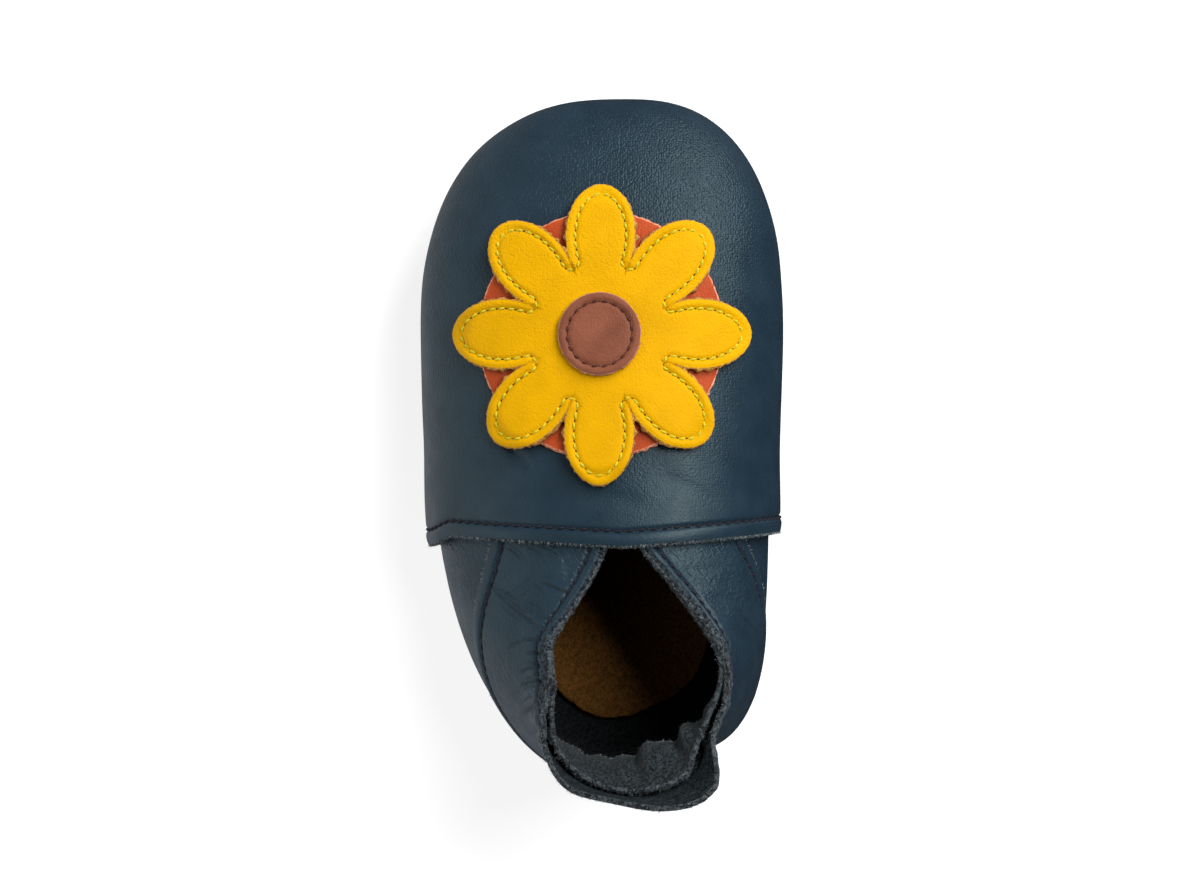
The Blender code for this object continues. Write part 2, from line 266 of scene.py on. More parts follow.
# Worn strip along the collar, with its widths by the throat and by the heel.
RAW_WIDTHS = (0.65 * MM, 1.35 * MM)
RAW_RISE = (212.0, 236.0)
RAW_FALL = (305.0, 340.0)
RAW_RAG = 0.35
RAW_CHANGE = (240.0, 4.0)
RAW_TAB = 0.2
RAW_ABOVE = 0.01 * MM
RAW_STEP = 0.15 * MM
RAW_FUZZ = 0.14 * MM

# Creases in mm as the photo shows them from above, each as x0, y0, x1, y1, bow, width and height.
# Their ends fade over these shares of the length, and they reach this many widths to each side.
CREASE_RISE = (-0.2, 0.25)
CREASE_FALL = (0.75, 1.2)
CREASE_REACH = 3.0
VAMP_CREASES = (
    (31.0, 37.0, 33.6, 14.0, 0.8, 2.2, -0.45),
    (27.5, 28.0, 32.0, 21.0, 0.4, 0.7, -0.20),
    (28.8, 30.0, 33.0, 24.0, 0.3, 0.6, -0.18),
    (-21.0, 3.0, -16.5, -3.5, 0.5, 0.9, -0.28),
    (-18.5, 0.5, -13.5, -5.5, 0.4, 0.8, -0.20),
    (-12.0, -9.5, 9.0, -12.0, 0.8, 1.8, -0.22),
    (12.0, -6.0, 24.0, -12.5, 0.7, 1.6, -0.20),
)
BAND_CREASES = (
    (-21.8, -28.4, -12.0, -36.6, -0.4, 0.30, -0.24),
    (-19.4, -30.2, -14.6, -34.0, 0.2, 0.28, -0.20),
    (-21.8, -28.3, -16.6, -31.0, 0.2, 0.28, -0.20),
    (-19.8, -31.8, -15.6, -35.4, -0.2, 0.28, -0.16),
    (-16.6, -32.2, -12.2, -35.8, 0.3, 0.45, 0.16),
    (-19.6, -30.0, -13.4, -26.2, -0.5, 0.26, -0.15),
    (-18.4, -30.4, -13.6, -27.2, -0.4, 0.26, -0.15),
    (-17.2, -30.8, -13.6, -28.4, -0.3, 0.26, -0.15),
    (-14.3, -31.4, -11.2, -33.4, 0.2, 0.28, -0.18),
    (-13.4, -27.7, -11.2, -29.4, 0.2, 0.28, -0.22),
    (-11.4, -27.5, -6.8, -29.7, 0.0, 0.36, -0.30),
    (-11.6, -26.8, -7.6, -28.6, 0.0, 0.40, 0.18),
    (-12.8, -34.1, -10.0, -35.1, 0.1, 0.30, -0.22),
    (-18.6, -20.4, -16.0, -22.6, 0.2, 0.26, -0.18),
    (-17.6, -20.2, -15.2, -22.2, 0.2, 0.26, -0.16),
    (-14.4, -20.4, -11.4, -21.9, 0.2, 0.26, -0.18),
    (-12.0, -20.2, -8.4, -21.8, 0.2, 0.26, -0.18),
    (-10.0, -20.0, -7.0, -21.6, 0.2, 0.26, -0.15),
    (-8.6, -22.2, -7.6, -23.6, 0.0, 0.24, 0.22),
    (-8.2, -23.8, -6.8, -25.2, 0.0, 0.24, 0.24),
    (-8.3, -24.7, -7.0, -26.1, 0.0, 0.24, 0.24),
    (-8.4, -25.6, -7.2, -27.0, 0.0, 0.24, 0.22),
    (-18.2, -40.7, -15.2, -38.9, 0.2, 0.32, -0.20),
    (-15.4, -38.9, -11.0, -39.1, 0.1, 0.32, -0.30),
    (-14.6, -41.7, -11.4, -42.0, 0.1, 0.32, -0.30),
    (-15.8, -45.6, -11.8, -44.5, 0.3, 0.26, -0.30),
    (-14.8, -43.4, -11.8, -44.4, 0.1, 0.26, -0.24),
    (-15.6, -48.2, -12.0, -47.5, 0.3, 0.26, -0.30),
    (-14.4, -46.6, -12.0, -47.4, 0.1, 0.24, -0.22),
    (-15.2, -51.3, -11.8, -50.2, 0.3, 0.26, -0.26),
    (-15.0, -44.2, -12.4, -46.2, 0.0, 0.9, 0.20),
    (-15.4, -49.4, -12.4, -49.0, 0.0, 0.9, 0.20),
    (-14.6, -53.4, -11.8, -52.4, 0.2, 0.32, -0.22),
    (-22.0, -34.0, -15.0, -40.0, 0.6, 1.8, -0.20),
    (21.8, -30.8, 28.0, -31.4, 0.3, 0.9, -0.32),
    (25.6, -31.9, 30.8, -36.6, 0.3, 0.26, -0.16),
    (26.0, -31.2, 31.0, -35.4, 0.3, 0.26, -0.16),
    (26.8, -30.8, 31.4, -34.8, 0.3, 0.26, -0.14),
    (27.4, -33.6, 31.4, -37.6, 0.3, 0.26, -0.14),
    (15.2, -26.1, 24.6, -24.6, 0.3, 0.9, -0.20),
    (25.0, -57.0, 25.5, -52.6, -0.2, 0.6, 0.40),
    (25.2, -52.6, 30.2, -49.6, 0.3, 0.7, 0.42),
    (26.2, -55.6, 27.8, -52.8, -0.2, 0.6, -0.50),
)

# Runs of the ankle band's columns, each as its end and number of steps, close on the creased outer side.
BAND_COLUMNS = ((0.06, 16), (0.42, 240), (0.64, 110), (1.0, 114))

# Camera over the shoe as in the photo.
CAMERA_AT = Vector((40.9 * MM, 9.1 * MM, 1.05))
CAMERA_AIM = Vector((0.0, 0.0, 20.0 * MM))
IMAGE_WIDTH = 1200
PIXELS_PER_MM = 5.0
SENSOR = 36.0

# Lobes of the sky as direction, start and brightness, and softboxes as name, place, size and power.
SKY_LEAST = 0.02
SKY_LOBES = (
    ((-1.0, 0.0, 0.0), -0.05, 1.08),
    ((0.50, 0.70, -0.52), 0.80, 0.25),
    ((0.62, -0.66, -0.42), 0.80, 0.30),
)
SOFTBOXES = (
    ("key", (0.60, 0.38, 0.98), 0.65, 13.8),
    ("rim", (0.60, 0.80, 0.50), 0.5, 10.5),
    ("fill", (-0.95, -0.15, 0.60), 0.7, 2.0),
    ("back", (0.25, -0.95, 0.25), 0.4, 3.0),
)
FLOOR_GLOW = 0.72


def mix(a, b, share):
    return a + (b - a) * share


def ease(value, start, end):
    """Smooth step from 0 at start to 1 at end."""
    share = min(max((value - start) / (end - start), 0.0), 1.0)
    return share * share * (3.0 - 2.0 * share)


def hump(value, rise, fall):
    """Up from 0 to 1 over the span rise, and down again over the span fall."""
    return ease(value, *rise) * (1.0 - ease(value, *fall))


def bell(distance, width):
    return exp(-(distance / width) ** 2)


def cap(share, power):
    """Height of a unit superellipse at this share of its length."""
    return max(0.0, 1.0 - min(max(share, 0.0), 1.0) ** power) ** (1.0 / power)


def cap_radius(angle, half_x, half_y, power):
    """Polar radius of a superellipse."""
    across = (abs(cos(angle)) / half_x) ** power
    along_y = (abs(sin(angle)) / half_y) ** power
    return (across + along_y) ** (-1.0 / power)


def toe_sizes(inner, out):
    """Half width, length and roundness of the toe cap on one side, grown by out."""
    return BALL[inner] + out, TOE_LENGTH + out, TOE_ROUND[inner]


def heel_sizes(inner, out):
    return WAIST[inner] + out, HEEL_LENGTH[inner] + out, HEEL_ROUND[inner]


def heading(angle):
    return Vector((cos(angle), sin(angle)))


def cap_point(angle, centre, half, length, power):
    return Vector(centre) + cap_radius(angle, half, length, power) * heading(angle)


def toe_outline(degrees, out=0.0):
    """Plan point on the toe cap's widest line, from the inner side at 0 to the outer side at 180."""
    angle = radians(degrees)
    return cap_point(angle, (TOE_X, TOE_CAP_Y), *toe_sizes(cos(angle) > 0.0, out))


def heel_outline(degrees, out=0.0):
    """Plan point on the heel cap's widest line, from the outer side at 180 to the inner side at 360."""
    angle = radians(degrees)
    half, _, power = heel_sizes(cos(angle) > 0.0, out)
    length = mix(*HEEL_LENGTH, ease(degrees, *HEEL_TURN)) + out
    return cap_point(angle, (HEEL_X, HEEL_CAP_Y), half, length, power)


def edge_x(y, inner, out=0.0):
    """Where the plan's inner or outer edge is at this place along the foot."""
    sign = 1.0 if inner else -1.0
    toe_half, toe_length, toe_power = toe_sizes(inner, out)
    heel_half, heel_length, heel_power = heel_sizes(inner, out)
    if y >= TOE_CAP_Y:
        return TOE_X + sign * toe_half * cap((y - TOE_CAP_Y) / toe_length, toe_power)
    if y <= HEEL_CAP_Y:
        return HEEL_X + sign * heel_half * cap((HEEL_CAP_Y - y) / heel_length, heel_power)
    ball = TOE_X + sign * toe_half
    waist = HEEL_X + sign * heel_half
    return mix(ball, waist, ease(y, TOE_CAP_Y, HEEL_CAP_Y))


def crest_x(y):
    return mix(TOE_X, CREST_X_REAR, ease(y, HEEL_CAP_Y, CREST_X_REAR_Y))


def crest_z(y, out=0.0):
    """Top of the instep seen from the side."""
    ramp = HEM_CREST_Z + out - CREST_FALL * (y - HEM_Y)
    if y <= TOE_CAP_Y:
        return ramp
    return mix(WIDEST_Z, ramp, cap((y - TOE_CAP_Y) / (TOE_LENGTH + out), CREST_ROUND))


def top_z(x, y, out=0.0):
    """Height of the vamp's form over a plan point, grown by out."""
    middle = crest_x(y)
    half = abs(edge_x(y, x > middle, out) - middle)
    if half < WELD:
        return WIDEST_Z
    return mix(WIDEST_Z, crest_z(y, out), cap(abs(x - middle) / half, SECTION_ROUND))


def tuck(share, depth):
    """Inward step and height of the wall below its widest line, where share 1 is the floor seam."""
    angle = share * TUCK_ANGLE
    inward = depth * (1.0 - cos(angle)) / (1.0 - cos(TUCK_ANGLE))
    height = mix(WIDEST_Z, FEATHER_Z, sin(angle) / sin(TUCK_ANGLE))
    return inward, height


@functools.cache
def wall_value(column, degrees):
    """Smooth value of one column of the wall's rows at this place around the heel."""
    index = WALL_COLUMNS.index(column)
    xs = [row[0] for row in WALL_ROWS]
    ys = [row[index] for row in WALL_ROWS]
    last = len(xs) - 1
    i = max(k for k in range(last) if xs[k] <= degrees or k == 0)
    slopes = []
    for k in (i, i + 1):
        low, high = max(k - 1, 0), min(k + 1, last)
        slopes.append((ys[high] - ys[low]) / (xs[high] - xs[low]))
    span = xs[i + 1] - xs[i]
    t = (degrees - xs[i]) / span
    start = ys[i] * (1 + 2 * t) * (1 - t) ** 2 + slopes[0] * span * t * (1 - t) ** 2
    end = ys[i + 1] * t * t * (3 - 2 * t) + slopes[1] * span * t * t * (t - 1)
    return start + end


def tab_share(degrees):
    return hump(degrees, TAB_RISE, TAB_FALL)


def wall(degrees, level, out=0.0):
    """Point on the quarter's wall. Levels: -1 floor seam, 0 widest line, 1 collar, 2 top of the tab."""
    if level <= 0.0:
        inward, z = tuck(-level, QUARTER_TUCK - QUARTER_INSET)
        base = heel_outline(degrees, out - QUARTER_INSET - inward)
        return Vector((base.x, base.y, z))
    base = heel_outline(degrees, out - QUARTER_INSET)
    drop = base.y - FAN_Y
    target_y = FAN_Y + (drop + hypot(drop, FAN_BLEND)) / 2.0
    target = Vector((crest_x(target_y), target_y))
    reach = (base - target).length
    edge = wall_value("radius", degrees) * MM + out
    edge_z = wall_value("height", degrees) * MM + out
    power = 2.0 / SECTION_ROUND
    arc = max(acos(min(edge / reach, 1.0) ** (1.0 / power)), LEAST_ARC)
    angle = min(level, 1.0) * arc
    inwards = (1.0 - cos(angle) ** power) / (1.0 - cos(arc) ** power)
    upwards = (sin(angle) / sin(arc)) ** power
    radius = mix(reach, edge, inwards)
    radius -= wall_value("waist", degrees) * MM * sin(pi * upwards ** WAIST_SKEW)
    z = mix(WIDEST_Z, edge_z, upwards)
    if level > 1.0:
        radius += wall_value("lean", degrees) * MM * (level - 1.0)
        z += TAB_HEIGHT * (level - 1.0)
    point = target + (base - target).normalized() * radius
    return Vector((point.x, point.y, z))


def hem_y(inner, across):
    """Where the vamp's rear edge is along the foot, from the crest at 0 to the widest line at 1."""
    if inner:
        return mix(HEM_Y, HEM_INNER_Y, across)
    return mix(HEM_Y, HEM_OUTER_Y, across) - HEM_DIP * ease(across, HEM_DIP_FROM, 1.0)


def vamp_plan(around, across, out):
    """Plan point on the vamp, across from the crest at 0 to its edge at 1."""
    if VAMP_SIDE <= around <= 1.0 - VAMP_SIDE:
        degrees = 180.0 * (around - VAMP_SIDE) / (1.0 - 2.0 * VAMP_SIDE)
        middle = Vector((TOE_X, TOE_CAP_Y))
        return mix(middle, toe_outline(degrees, out), across)
    inner = around < VAMP_SIDE
    share = (around if inner else 1.0 - around) / VAMP_SIDE
    y = mix(hem_y(inner, across), TOE_CAP_Y, share)
    return Vector((mix(crest_x(y), edge_x(y, inner, out), across), y))


def vamp_point(around, level, out=0.0):
    """Point on the vamp. Level -1 is the floor seam, 0 the widest line and 1 the crest."""
    if level <= 0.0:
        inward, z = tuck(-level, TUCK)
        base = vamp_plan(around, 1.0, out - inward)
        return Vector((base.x, base.y, z))
    plan = vamp_plan(around, cos(level * pi / 2.0), out)
    return Vector((plan.x, plan.y, top_z(plan.x, plan.y, out)))


def ring(u, out):
    """Plan point round the whole shoe: toe cap, outer side, heel cap, inner side."""
    cap_share = 0.5 - RING_SIDE
    turn, along_side = divmod(u % 1.0, 0.5)
    if along_side <= cap_share:
        degrees = 180.0 * (turn + along_side / cap_share)
        return heel_outline(degrees, out) if turn else toe_outline(degrees, out)
    share = (along_side - cap_share) / RING_SIDE
    y = mix(HEEL_CAP_Y, TOE_CAP_Y, share if turn else 1.0 - share)
    return Vector((edge_x(y, bool(turn), out), y))


def petal_radius(degrees):
    wave = abs(cos(radians(degrees * PETALS / 2.0)))
    return mix(PETAL_NOTCH, PETAL_TIP, wave ** PETAL_ROUND)


# Where the sheets lie, each as a function of two shares.
def vamp_place(u, v):
    level = v / VAMP_TUCK - 1.0 if v < VAMP_TUCK else (v - VAMP_TUCK) / (1.0 - VAMP_TUCK)
    return vamp_point(u, level)


def heel_degrees(u):
    return mix(180.0, 360.0, u)


def quarter_place(u, v):
    degrees = heel_degrees(u)
    return wall(degrees, mix(-1.0, wall_value("seam", degrees) + BAND_LAP, v))


def band_level(degrees, v):
    return mix(wall_value("seam", degrees), 1.0 + tab_share(degrees), v)


def band_place(u, v):
    degrees = heel_degrees(u)
    return wall(degrees, band_level(degrees, v), BAND_STEP)


def casing_place(u, v):
    """Strip inside the collar, square under the ankle band's outer face."""
    degrees = heel_degrees(u)
    level = mix(*CASING_SPAN, v)
    across = wall(degrees + TURN_STEP, level, BAND_STEP) - wall(degrees - TURN_STEP, level, BAND_STEP)
    upwards = wall(degrees, level + LEVEL_STEP, BAND_STEP) - wall(degrees, level - LEVEL_STEP, BAND_STEP)
    depth = LEATHER + CASING_GAP
    return wall(degrees, level, BAND_STEP) - across.cross(upwards).normalized() * depth


def sole_place(u, v):
    rim = max(0.0, (v - SOLE_FLAT) / (1.0 - SOLE_FLAT))
    roll = (1.0 - (1.0 - rim) ** 2) * pi / 2.0
    out = -TUCK - SOLE_ROLL * (1.0 - sin(roll))
    plan = ring(u, out) * min(v / SOLE_FLAT, 1.0)
    return Vector((plan.x, plan.y, SOLE_RIM_Z * (1.0 - cos(roll))))


def insole_place(u, v):
    towards_heel = ease(ring(u, -INSOLE_INSET).y, *INSOLE_WAIST_Y)
    plan = ring(u, -mix(INSOLE_INSET, INSOLE_HEEL_INSET, towards_heel)) * v
    return Vector((plan.x, plan.y, SOLE + GAP + INSOLE))


def flower_place(radius, top):
    """Place function of one layer of the flower, laid on the vamp's own form at the height top(radius)."""
    def place(u, v):
        reach = radius(360.0 * u) * v
        x, y = Vector((FLOWER_X, FLOWER_Y)) + reach * heading(tau * u)
        return Vector((x, y, top_z(x, y, top(reach))))
    return place


def petal_top(reach):
    return PETAL_TOP - PETAL_DROP * ease(reach, DROP_FROM, DROP_TO)


disc_place = flower_place(lambda degrees: DISC_RADIUS, lambda reach: DISC_TOP)
petal_place = flower_place(petal_radius, petal_top)
centre_place = flower_place(lambda degrees: CENTRE_RADIUS, lambda reach: CENTRE_TOP)


# Node trees.
class Tree:
    """Node tree of a material or of the sky, with short calls that add and link nodes."""

    def __init__(self, owner, shader):
        owner.use_nodes = True
        self.owner = owner
        self.nodes = owner.node_tree.nodes
        self.shader = self.nodes[shader]
        self.coordinates = self.nodes.new("ShaderNodeTexCoord").outputs
        self.place = self.coordinates["Object"]

    def feed(self, socket, value):
        if isinstance(value, bpy.types.NodeSocket):
            self.owner.node_tree.links.new(value, socket)
        else:
            socket.default_value = value

    def set(self, name, value):
        self.feed(self.shader.inputs[name], value)

    def add(self, kind, inputs, **settings):
        node = self.nodes.new("ShaderNode" + kind)
        for key, value in settings.items():
            setattr(node, key, value)
        for key, value in inputs.items():
            self.feed(node.inputs[key], value)
        return node

    def noise(self, size, detail=3.0, place=None, distortion=0.0):
        """Cloudy value with features of this size in metres."""
        inputs = {"Vector": place or self.place, "Scale": 1.0 / size, "Detail": detail}
        return self.add("TexNoise", {**inputs, "Distortion": distortion}).outputs["Fac"]

    def pebbles(self, size, place):
        """Distance from the middle of the nearest pebble, with soft borders."""
        inputs = {"Vector": place, "Scale": 1.0 / size, "Smoothness": 0.15, "Randomness": 0.7}
        return self.add("TexVoronoi", inputs, feature="SMOOTH_F1").outputs["Distance"]

    def tufts(self, size, place):
        """Random tone for each small tuft of fibres."""
        return self.add("TexVoronoi", {"Vector": place, "Scale": 1.0 / size}).outputs["Color"]

    def along_foot(self):
        return self.add("SeparateXYZ", {0: self.place}).outputs["Y"]

    def shade(self):
        """Painted shade at the bottoms of folds and grooves, kept with the mesh."""
        return self.add("Attribute", {}, attribute_name="shade").outputs["Fac"]

    def range(self, value, low, high, to_low=0.0, to_high=1.0):
        inputs = {"Value": value, "From Min": low, "From Max": high, "To Min": to_low, "To Max": to_high}
        return self.add("MapRange", inputs).outputs["Result"]

    def math(self, operation, a, b):
        return self.add("Math", {0: a, 1: b}, operation=operation).outputs[0]

    def total(self, *parts):
        """Sum of values, each times its share."""
        scaled = [self.math("MULTIPLY", value, share) for value, share in parts]
        return functools.reduce(functools.partial(self.math, "ADD"), scaled)

    def vector(self, operation, inputs, output=0):
        return self.add("VectorMath", inputs, operation=operation).outputs[output]

    def blend(self, share, a, b):
        """Colour between a and b."""
        return self.add("Mix", {0: share, 6: a, 7: b}, data_type="RGBA").outputs[2]

    def moved(self, amount, size):
        """Coordinates pushed about by noise, so that pebbles and tufts don't look regular."""
        colour = self.add("TexNoise", {"Vector": self.place, "Scale": 1.0 / size}).outputs["Color"]
        centred = self.vector("SUBTRACT", {0: colour, 1: (0.5, 0.5, 0.5)})
        return self.vector("ADD", {0: self.place, 1: self.vector("SCALE", {0: centred, "Scale": amount})})

    def drawn(self, degrees, across=1.0, along_it=1.0):
        """Coordinates turned about the vertical and drawn out along one direction."""
        turn = (0.0, 0.0, radians(degrees))
        inputs = {"Vector": self.place, "Rotation": turn, "Scale": (across, along_it, across)}
        return self.add("Mapping", inputs, vector_type="TEXTURE").outputs["Vector"]

    def lines(self, degrees, across, along_it, detail, distortion):
        """Noise drawn out into wavy lines."""
        return self.noise(1.0, detail, self.drawn(degrees, across, along_it), distortion)

    def bump(self, height, depth, strength=1.0, under=None):
        inputs = {"Height": height, "Distance": depth, "Strength": strength}
        if under is not None:
            inputs["Normal"] = under
        return self.add("Bump", inputs).outputs["Normal"]


def rgba(colour):
    return (*colour, 1.0)


def new_material(name, roughness):
    tree = Tree(bpy.data.materials.new(name), "Principled BSDF")
    tree.set("Roughness", roughness)
    return tree


def leather(name, dark, light, roughness=0.43, gloss=0.25, wrinkle=0.0, depth=0.11 * MM, tint=GLOSS_TINT):
    """Satin leather: pebbled grain, fine wrinkles in two directions, a slightly uneven dye, and painted shade
    in creases and stitch grooves.
    """
    tree = new_material(name, roughness)
    shade = tree.shade()
    dye = tree.range(tree.noise(7.0 * MM, detail=5.0), low=0.35, high=0.68)
    colour = tree.blend(dye, rgba(dark), rgba(light))
    # Painted shade: the colour is pulled towards black in the bottoms of creases and stitch grooves.
    tree.set("Base Color", tree.blend(tree.math("MULTIPLY", shade, PAINTED_SHADE_STRENGTH), colour, rgba(BLACK)))
    pebbles = tree.pebbles(PEBBLE, tree.moved(0.10 * MM, size=1.2 * MM))
    domes = tree.math("MULTIPLY", pebbles, pebbles)
    lines = tree.math("MULTIPLY", tree.lines(*GRAIN_LINES), GRAIN_LINE_SHARE)
    strength = tree.range(tree.along_foot(), *GRAIN_RAMP)
    normal = tree.bump(tree.math("SUBTRACT", lines, domes), depth, strength)
    for row in WRINKLE_SETS if wrinkle else ():
        patches = tree.noise(11.0 * MM, detail=1.0, place=tree.drawn(row[0]))
        strength = tree.math("MULTIPLY", tree.range(patches, low=0.40, high=0.60, to_low=0.2), wrinkle)
        normal = tree.bump(tree.lines(*row), WRINKLE_DEPTH, strength, normal)
    tree.set("Normal", normal)
    wear = tree.noise(4.0 * MM)
    worn = tree.range(wear, low=0.3, high=0.7, to_low=roughness - 0.05, to_high=roughness + 0.06)
    # Roughness is raised where the shade is painted.
    tree.set("Roughness", tree.math("ADD", worn, tree.math("MULTIPLY", shade, SHADE_ROUGH)))
    tree.set("Specular IOR Level", gloss)
    tree.set("Specular Tint", rgba(tint))
    return tree.owner


def suede(name, dark, light, nap=0.45 * MM, depth=0.25 * MM, sheen=0.05, tips=(0.30, 0.70)):
    """Flesh side of leather: short matt nap in tufts and patches, with paler fibre tips."""
    tree = new_material(name, roughness=0.95)
    patches = tree.noise(3.0 * MM, detail=2.0)
    fibres = tree.noise(nap, place=tree.moved(0.5 * MM, size=1.0 * MM), distortion=0.4)
    tufts = tree.tufts(nap, tree.moved(0.3 * MM, size=0.5 * MM))
    tone = tree.total((patches, 0.2), (fibres, 0.3), (tufts, 0.5))
    tree.set("Base Color", tree.blend(tree.range(tone, *tips), rgba(dark), rgba(light)))
    tree.set("Normal", tree.bump(tone, depth))
    tree.set("Specular IOR Level", 0.1)
    tree.set("Sheen Weight", sheen)
    tree.set("Sheen Roughness", 0.6)
    return tree.owner


def thread(name, dark, light):
    tree = new_material(name, roughness=0.6)
    ply = tree.noise(0.25 * MM, detail=2.0)
    tree.set("Base Color", tree.blend(tree.range(ply, low=0.35, high=0.65), rgba(dark), rgba(light)))
    tree.set("Normal", tree.bump(ply, depth=0.08 * MM))
    tree.set("Specular IOR Level", 0.15)
    return tree.owner


# Sheets, with the places of their materials after that of the face.
BACK, CUT, WORN = 1, 2, 3


def spread(count, crowd=0.0):
    """Shares from 0 to 1, closer together at both ends where crowd is above 0."""
    shares = [i / count for i in range(count + 1)]
    return [s - crowd * sin(tau * s) / tau for s in shares]


def in_runs(runs):
    """Shares from 0 to 1 in runs of even steps."""
    shares = [0.0]
    for end, steps in runs:
        start = shares[-1]
        shares.extend(mix(start, end, (i + 1) / steps) for i in range(steps))
    return shares


def outward(vertex):
    """Direction away from a sheet, in its surface, at a vertex of its edge."""
    total = Vector()
    for edge in vertex.link_edges:
        if not edge.is_boundary:
            continue
        face = edge.link_faces[0]
        side = (edge.verts[1].co - edge.verts[0].co).cross(face.normal).normalized()
        middle = (edge.verts[0].co + edge.verts[1].co) / 2.0
        total += side if side.dot(middle - face.calc_center_median()) > 0.0 else -side
    return total.normalized()


class Surface:
    """Face of a sheet: place(u, v) is its smooth form, which relief(u, v, point) raises along the normal.

    Shade(u, v, point), where there is one, is the painted shade at the bottom of a crease or groove.
    """

    def __init__(self, place, relief, flip=False, shade=None):
        self.place = place
        self.relief = relief
        self.flip = flip
        self.shade = shade

    def at(self, u, v):
        """Point on the raised face, and the normal of the smooth form there."""
        across = self.place(min(u + SHARE_STEP, 1.0), v) - self.place(max(u - SHARE_STEP, 0.0), v)
        upwards = self.place(u, min(v + SHARE_STEP, 1.0)) - self.place(u, max(v - SHARE_STEP, 0.0))
        normal = across.cross(upwards).normalized() * (-1.0 if self.flip else 1.0)
        point = self.place(u, v)
        return point + normal * self.relief(u, v, point), normal


def lay_sheet(name, node, us, vs, surface, thickness, materials, edge=0.3 * MM, flare=0.0, raw=None):
    """Closed sheet of leather with a rounded cut edge. Returns the edge as place, outward, normal and shares.

    Materials are those of the face, the other side, the cut edge and, where raw(u, v) holds, the worn face.
    Flare is how far the edge's foot stands out past its top.
    """
    bm = bmesh.new()
    shares = bm.verts.layers.float_vector.new("shares")
    # Layer for the painted shade of creases and grooves.
    shade = bm.verts.layers.float.new("shade")
    rows = []
    for v in vs:
        row = [bm.verts.new(surface.place(u, v)) for u in us]
        for vertex, u in zip(row, us):
            vertex[shares] = (u, v, 0.0)
        rows.append(row)
    for low, high in zip(rows, rows[1:]):
        for i in range(len(us) - 1):
            face = bm.faces.new((low[i], low[i + 1], high[i + 1], high[i]))
            if raw and raw(*low[i][shares].xy):
                face.material_index = WORN
    bmesh.ops.remove_doubles(bm, verts=bm.verts, dist=WELD)
    bmesh.ops.dissolve_degenerate(bm, edges=bm.edges, dist=WELD)
    if surface.flip:
        bmesh.ops.reverse_faces(bm, faces=bm.faces)
    raise_face(bm, shares, shade, surface)
    rim = close_sheet(bm, shares, thickness, edge, flare)
    mesh = bpy.data.meshes.new(name)
    bm.to_mesh(mesh)
    bm.free()
    mesh.shade_smooth()
    settle(new_piece(name, mesh, materials), node)
    return rim


def raise_face(bm, shares, shade, surface):
    """Raise the face by its relief along its normals, and keep its painted shade with it."""
    bm.normal_update()
    for vertex in bm.verts:
        u, v = vertex[shares].xy
        if surface.shade:
            vertex[shade] = surface.shade(u, v, vertex.co)
        vertex.co += vertex.normal * surface.relief(u, v, vertex.co)
    bm.normal_update()
    bm.verts.index_update()


def close_sheet(bm, shares, thickness, edge, flare):
    """Add the other side and the cut edge to an open sheet."""
    top = list(bm.verts)
    faces = list(bm.faces)
    tops = set(faces)
    border = [e for e in bm.edges if e.is_boundary]
    below = [bm.verts.new(v.co - v.normal * thickness) for v in top]
    loops = {}
    rim = []
    for vertex in sorted({v for e in border for v in e.verts}, key=lambda v: v.index):
        out = outward(vertex)
        normal = vertex.normal.copy()
        uneven = 1.0 + RAGGED * noise.noise(vertex.co / RAG_SIZE)
        loop = [vertex]
        for step in range(1, EDGE_STEPS + 1):
            share = step / (EDGE_STEPS + 1)
            angle = pi * share
            reach = uneven * (edge * sin(angle) ** EDGE_SQUARE + flare * share)
            depth = thickness * (1.0 - cos(angle)) / 2.0
            loop.append(bm.verts.new(vertex.co + out * reach - normal * depth))
        loops[vertex.index] = loop + [below[vertex.index]]
        rim.append((vertex.co - normal * thickness / 2.0, out, normal, vertex[shares].xy))
    for face in faces:
        other = bm.faces.new([below[v.index] for v in reversed(face.verts)])
        other.material_index = BACK
    for e in border:
        loop = next(l for l in e.link_loops if l.face in tops)
        a, b = loops[loop.vert.index], loops[loop.link_loop_next.vert.index]
        for step in range(EDGE_STEPS + 1):
            strip = bm.faces.new((b[step], a[step], a[step + 1], b[step + 1]))
            strip.material_index = CUT
    return rim


def add_object(name, data):
    thing = bpy.data.objects.new(name, data)
    bpy.context.scene.collection.objects.link(thing)
    return thing


def new_piece(name, mesh, materials):
    for material in materials:
        mesh.materials.append(material)
    return add_object(name, mesh)


def settle(piece, node):
    """Give a piece its body, and hide the CAD node that it stands for, if any."""
    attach(piece, "root")
    if node:
        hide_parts(node)


# Relief of the leather.
def slack(point):
    """Gentle unevenness of soft leather."""
    return SLACK * noise.noise(point / SLACK_SIZE)


def waver(x, y):
    """Smooth random value from -1 to 1."""
    return noise.noise(Vector((x, y, 0.0)))


def in_photo(point):
    """Plan place that a point covers in the photo, at the height where the camera aims."""
    share = (CAMERA_AT.z - CAMERA_AIM.z) / (CAMERA_AT.z - point.z)
    return mix(CAMERA_AT.xy, point.xy, share)


def crease_shares(table, point):
    """Width, height and share at this point of each listed ridge or trough that reaches it."""
    spot = in_photo(point) / MM
    for x0, y0, x1, y1, bow, width, height in table:
        dx, dy = x1 - x0, y1 - y0
        length = hypot(dx, dy)
        rx, ry = spot.x - x0, spot.y - y0
        share = (rx * dx + ry * dy) / length ** 2
        if not CREASE_RISE[0] < share < CREASE_FALL[1]:
            continue
        across = (dx * ry - dy * rx) / length - bow * 4.0 * share * (1.0 - share)
        if abs(across) < CREASE_REACH * width:
            yield width, height, bell(across, width) * hump(share, CREASE_RISE, CREASE_FALL)


def creases(table, point):
    return sum(height * MM * share for _, height, share in crease_shares(table, point))


